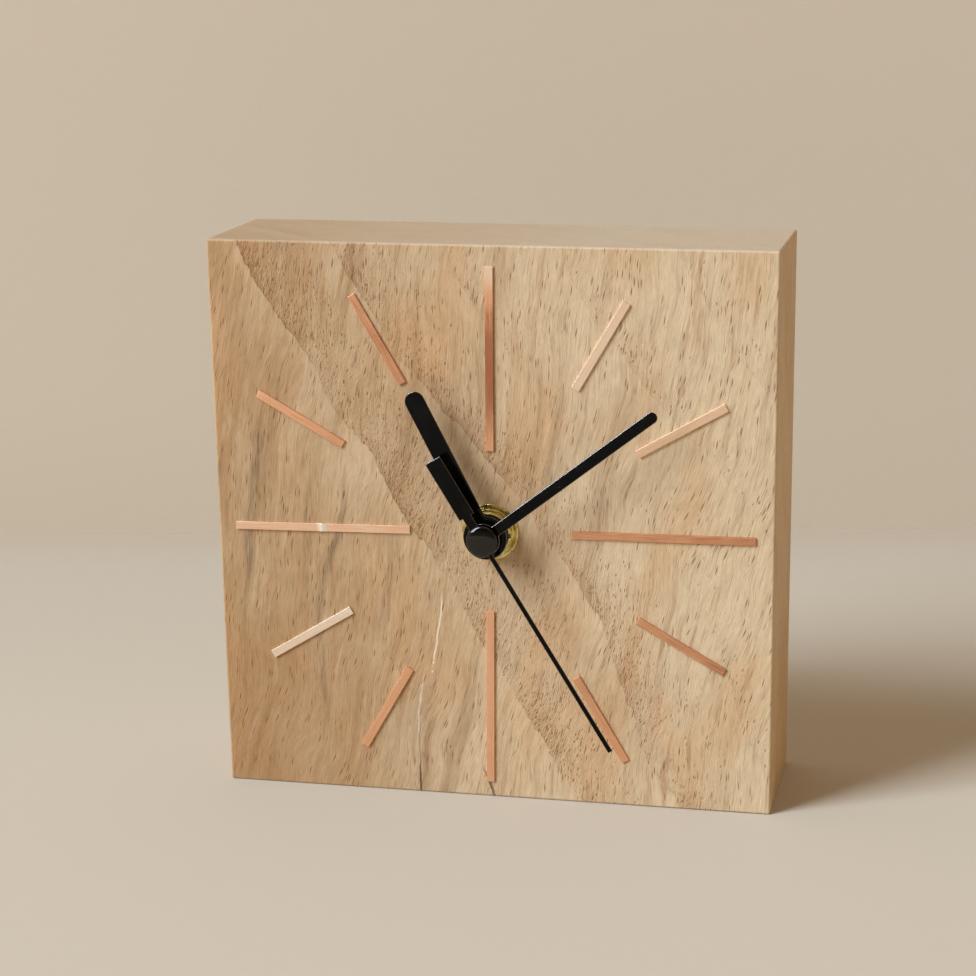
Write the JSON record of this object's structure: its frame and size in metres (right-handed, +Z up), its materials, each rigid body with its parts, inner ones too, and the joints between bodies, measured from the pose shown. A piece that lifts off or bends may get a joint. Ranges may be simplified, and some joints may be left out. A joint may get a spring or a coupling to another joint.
{
  "type": "desk clock",
  "caption": "Square block of solid wood as a desk clock, with copper strips for the hours, three black hands and a quartz movement let into its back.",
  "frame": {"origin": "middle of the wooden block's bottom face", "axes": "+Z up; +X to the right as the dial is read; +Y from the dial to the back"},
  "size_m": [0.14, 0.0487, 0.14],
  "materials": {
    "block_wood": "oiled, open pores",
    "strip_copper": "copper, brushed along its length",
    "washer_rubber": "matte",
    "fixing_brass": "satin, turned",
    "case_plastic": "fine spark-eroded texture",
    "plate_plastic": "natural, moulded",
    "wheel_plastic": "natural acetal",
    "knob_plastic": "fine texture",
    "arbor_steel": "ground",
    "arbor_brass": "turned",
    "spring_steel": "rolled",
    "magnet": "sintered",
    "stator_steel": "stamped",
    "coil_wire": "enamelled copper",
    "bobbin_plastic": "moulded",
    "screw_steel": "zinc plated",
    "board_laminate": "paper laminate",
    "chip_resin": "cast blob",
    "crystal_can": "drawn can",
    "battery_jacket": "plain printed film, no marks",
    "contact_metal": "nickel plated",
    "hand_black": "black lacquer",
    "cap_black": "gloss black lacquer"
  },
  "bodies": {
    "root": {"wood_block": "block_wood", "hour_marker_01": "strip_copper", "hour_marker_02": "strip_copper", "hour_marker_03": "strip_copper", "hour_marker_04": "strip_copper", "hour_marker_05": "strip_copper", "hour_marker_06": "strip_copper", "hour_marker_07": "strip_copper", "hour_marker_08": "strip_copper", "hour_marker_09": "strip_copper", "hour_marker_10": "strip_copper", "hour_marker_11": "strip_copper", "hour_marker_12": "strip_copper", "rubber_washer": "washer_rubber", "threaded_bush": "fixing_brass", "brass_washer": "fixing_brass", "round_nut": "fixing_brass", "movement_front_case": "case_plastic", "movement_middle_plate": "plate_plastic", "movement_rear_cover": "case_plastic", "stator_plate": "stator_steel", "coil_core": "stator_steel", "coil_bobbin": "bobbin_plastic", "coil_winding": "coil_wire", "coil_screws": "screw_steel", "circuit_board": "board_laminate", "clock_chip": "chip_resin", "quartz_crystal": "crystal_can", "battery": "battery_jacket", "battery_contact_positive": "contact_metal", "battery_contact_negative": "contact_metal"},
    "second_group": {"seconds_wheel": "wheel_plastic", "seconds_arbor": "arbor_steel", "second_hand": "hand_black", "second_hand_cap": "cap_black"},
    "step_group": {"step_wheel": "wheel_plastic"},
    "rotor_group": {"rotor": "wheel_plastic", "rotor_magnet": "magnet"},
    "third_group": {"third_wheel": "wheel_plastic"},
    "centre_group": {"centre_wheel": "wheel_plastic"},
    "minute_group": {"minute_arbor": "arbor_brass", "clutch_spring": "spring_steel", "minute_hand": "hand_black"},
    "motion_group": {"motion_wheel": "wheel_plastic"},
    "hour_group": {"hour_wheel": "wheel_plastic", "hour_hand": "hand_black"},
    "knob_group": {"setting_knob": "knob_plastic"}
  },
  "joints": [
    {"name": "seconds_spin", "type": "hinge", "parent": "root", "child": "second_group", "pos_m": [0, 0, 0.0695], "axis": [0, 1, 0], "continuous": true},
    {"name": "step_spin", "type": "hinge", "parent": "root", "child": "step_group", "pos_m": [0.00188, 0, 0.08014], "axis": [0, 1, 0], "continuous": true},
    {"name": "rotor_spin", "type": "hinge", "parent": "root", "child": "rotor_group", "pos_m": [0.00877, 0, 0.08198], "axis": [0, 1, 0], "continuous": true},
    {"name": "third_spin", "type": "hinge", "parent": "root", "child": "third_group", "pos_m": [-0.01005, 0, 0.07127], "axis": [0, 1, 0], "continuous": true},
    {"name": "centre_spin", "type": "hinge", "parent": "root", "child": "centre_group", "pos_m": [0, 0, 0.0695], "axis": [0, 1, 0], "continuous": true},
    {"name": "minute_spin", "type": "hinge", "parent": "root", "child": "minute_group", "pos_m": [0, 0, 0.0695], "axis": [0, 1, 0], "continuous": true},
    {"name": "motion_spin", "type": "hinge", "parent": "root", "child": "motion_group", "pos_m": [0.01024, 0, 0.06769], "axis": [0, 1, 0], "continuous": true},
    {"name": "hour_spin", "type": "hinge", "parent": "root", "child": "hour_group", "pos_m": [0, 0, 0.0695], "axis": [0, 1, 0], "continuous": true},
    {"name": "knob_spin", "type": "hinge", "parent": "root", "child": "knob_group", "pos_m": [0.02048, 0, 0.0695], "axis": [0, 1, 0], "continuous": true}
  ],
  "couplings": [
    {"joint": "step_spin", "follows": "seconds_spin", "ratio": -5},
    {"joint": "rotor_spin", "follows": "seconds_spin", "ratio": 30},
    {"joint": "third_spin", "follows": "seconds_spin", "ratio": -0.125},
    {"joint": "centre_spin", "follows": "seconds_spin", "ratio": 0.016667},
    {"joint": "motion_spin", "follows": "minute_spin", "ratio": -0.33333},
    {"joint": "hour_spin", "follows": "minute_spin", "ratio": 0.083333},
    {"joint": "knob_spin", "follows": "minute_spin", "ratio": 1}
  ]
}
